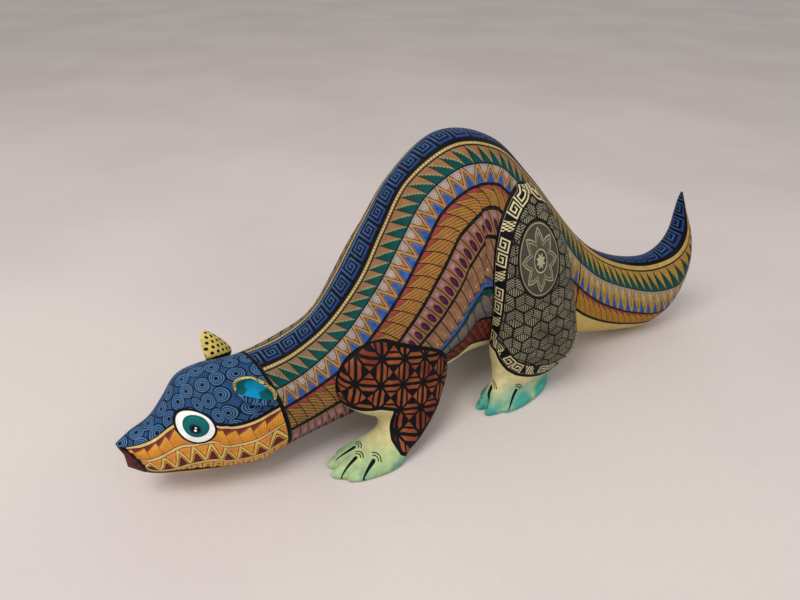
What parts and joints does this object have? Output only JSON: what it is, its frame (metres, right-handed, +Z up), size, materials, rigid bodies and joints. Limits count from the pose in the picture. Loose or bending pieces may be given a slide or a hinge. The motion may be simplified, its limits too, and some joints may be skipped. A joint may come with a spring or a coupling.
{
  "type": "carved animal figure",
  "caption": "Painted wooden figure of a long-bodied otter or weasel with an arched back, low head, curled tail and plug-in ears.",
  "frame": {"origin": "centre of the bounding box in plan, at the floor under the paws", "axes": "+X along the length toward the tail (the head is toward -X), -Y toward the animal's left side, +Z up"},
  "size_m": [0.4839, 0.1434, 0.1978],
  "materials": {
    "painted_trunk": "hand-painted, satin varnish",
    "painted_head": "hand-painted, satin varnish",
    "painted_tail": "hand-painted, satin varnish",
    "painted_front_leg": "hand-painted, satin varnish",
    "painted_haunch": "hand-painted, satin varnish",
    "painted_ear": "hand-painted, satin varnish",
    "birch_dowel": "raw turned wood"
  },
  "bodies": {
    "carving": {"torso": "painted_trunk", "head": "painted_head", "tail": "painted_tail", "front_leg_left": "painted_front_leg", "front_leg_right": "painted_front_leg", "hind_leg_left": "painted_haunch", "hind_leg_right": "painted_haunch", "neck_dowel_upper": "birch_dowel", "neck_dowel_lower": "birch_dowel", "tail_dowel_upper": "birch_dowel", "tail_dowel_lower": "birch_dowel", "front_leg_left_dowel_a": "birch_dowel", "front_leg_left_dowel_b": "birch_dowel", "front_leg_right_dowel_a": "birch_dowel", "front_leg_right_dowel_b": "birch_dowel", "hind_leg_left_dowel_a": "birch_dowel", "hind_leg_left_dowel_b": "birch_dowel", "hind_leg_right_dowel_a": "birch_dowel", "hind_leg_right_dowel_b": "birch_dowel"},
    "ear_left": {"ear_left": "painted_ear"},
    "ear_right": {"ear_right": "painted_ear"}
  },
  "joints": [
    {"name": "ear_left_pull", "type": "slide", "parent": "carving", "child": "ear_left", "axis": [0.1796, -0.4988, 0.8479], "range_m": [0, 0.012]},
    {"name": "ear_right_pull", "type": "slide", "parent": "carving", "child": "ear_right", "axis": [-0.0756, 0.5247, 0.8479], "range_m": [0, 0.012]}
  ]
}
